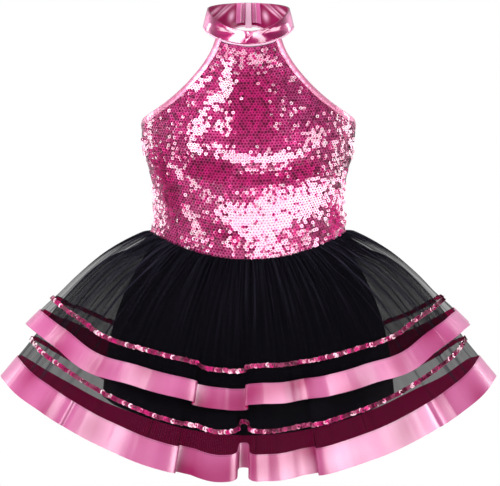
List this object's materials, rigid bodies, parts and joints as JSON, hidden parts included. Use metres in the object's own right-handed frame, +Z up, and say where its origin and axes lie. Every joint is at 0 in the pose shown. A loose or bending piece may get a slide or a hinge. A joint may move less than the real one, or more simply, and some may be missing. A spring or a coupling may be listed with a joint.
{
  "type": "ballet tutu dress",
  "caption": "Halter-neck ballet tutu dress: sequinned bodice with a metallic stand collar, and a tiered tulle skirt edged with satin ribbon and sequin braid.",
  "frame": {"origin": "middle of the neck, level with the collar's sides", "axes": "+Z up along the neck, the front faces -Y, +X is the wearer's left"},
  "size_m": [0.5468, 0.2819, 0.5166],
  "materials": {
    "sequin_cloth": "magenta cloth covered with small round cup sequins",
    "foil_cloth": "stretch cloth with a metallic pink foil face",
    "piping_cloth": "thin pale pink piping, smooth",
    "closure_cloth": "pink tape and overlocked edges, matt",
    "black_lining": "opaque black lining, matt",
    "black_tulle": "fine black net",
    "satin_ribbon": "pink satin, soft sheen along the weave",
    "sequin_braid": "strung magenta sequins, shiny"
  },
  "bodies": {
    "root": {"bodice_front": "sequin_cloth", "bodice_back": "sequin_cloth", "binding_left": "foil_cloth", "binding_right": "foil_cloth", "binding_back": "foil_cloth", "collar": "foil_cloth", "collar_piping": "piping_cloth", "closure_strip": "closure_cloth", "closure_edge_left": "closure_cloth", "closure_edge_right": "closure_cloth", "lining_front": "black_lining", "lining_back": "black_lining", "tier_lower_front": "black_tulle", "tier_lower_back": "black_tulle", "tier_upper_front": "black_tulle", "tier_upper_back": "black_tulle", "ribbon_lower": "satin_ribbon", "ribbon_upper": "satin_ribbon", "braid_lower": "sequin_braid", "braid_upper": "sequin_braid"}
  },
  "joints": []
}
